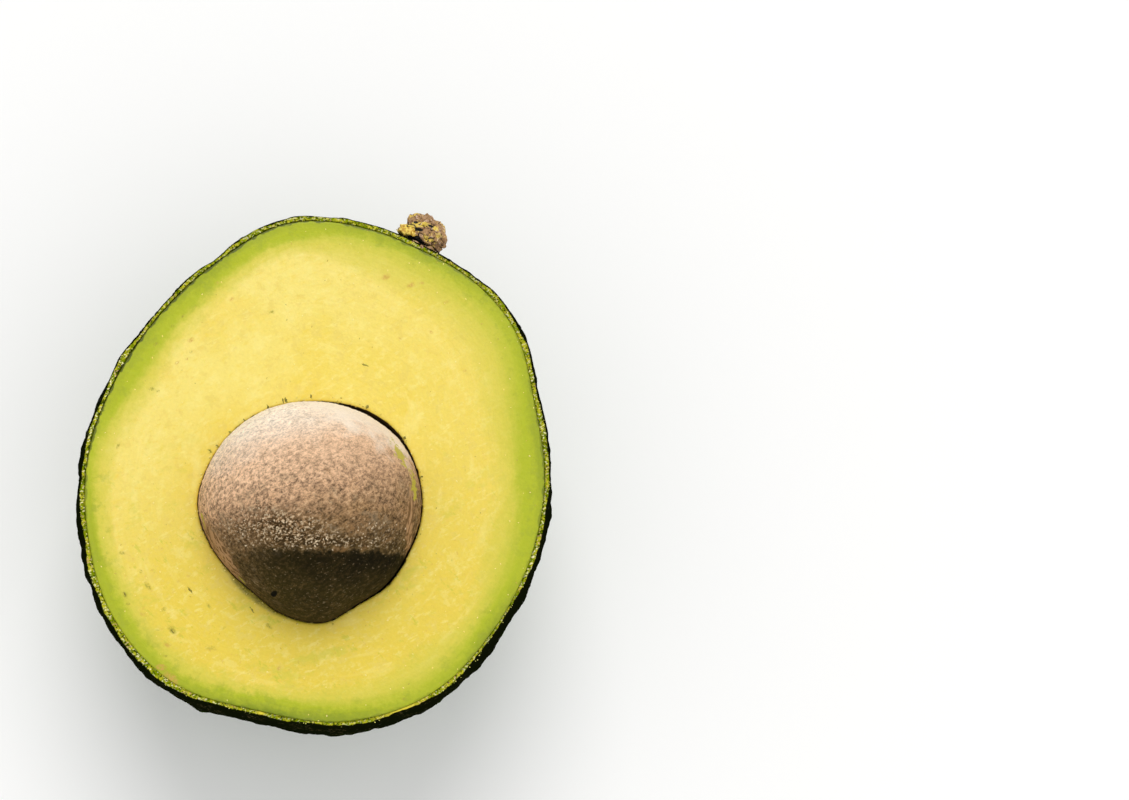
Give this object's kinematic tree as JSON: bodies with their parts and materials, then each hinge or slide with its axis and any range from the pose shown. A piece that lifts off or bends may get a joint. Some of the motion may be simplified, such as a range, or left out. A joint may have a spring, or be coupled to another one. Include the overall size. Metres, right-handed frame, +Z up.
{
  "type": "avocado half",
  "caption": "Avocado half as cut, lying on its rounded back: thin pebbly skin, flesh with a hollow, the loose round stone in it and the stub of the stalk at one end.",
  "frame": {"origin": "middle of the small flat spot on the skin that the half rests on", "axes": "+Z up, square to the cut face and along the shortest extent; +Y towards the stalk end, along the longest extent"},
  "size_m": [0.0775, 0.0909, 0.0624],
  "materials": {
    "skin": "satin",
    "flesh": "satin",
    "stone": "matte",
    "stem_stub": "matte"
  },
  "bodies": {
    "root": {"skin": "skin", "flesh": "flesh", "stone": "stone", "stem_stub": "stem_stub"}
  },
  "joints": []
}
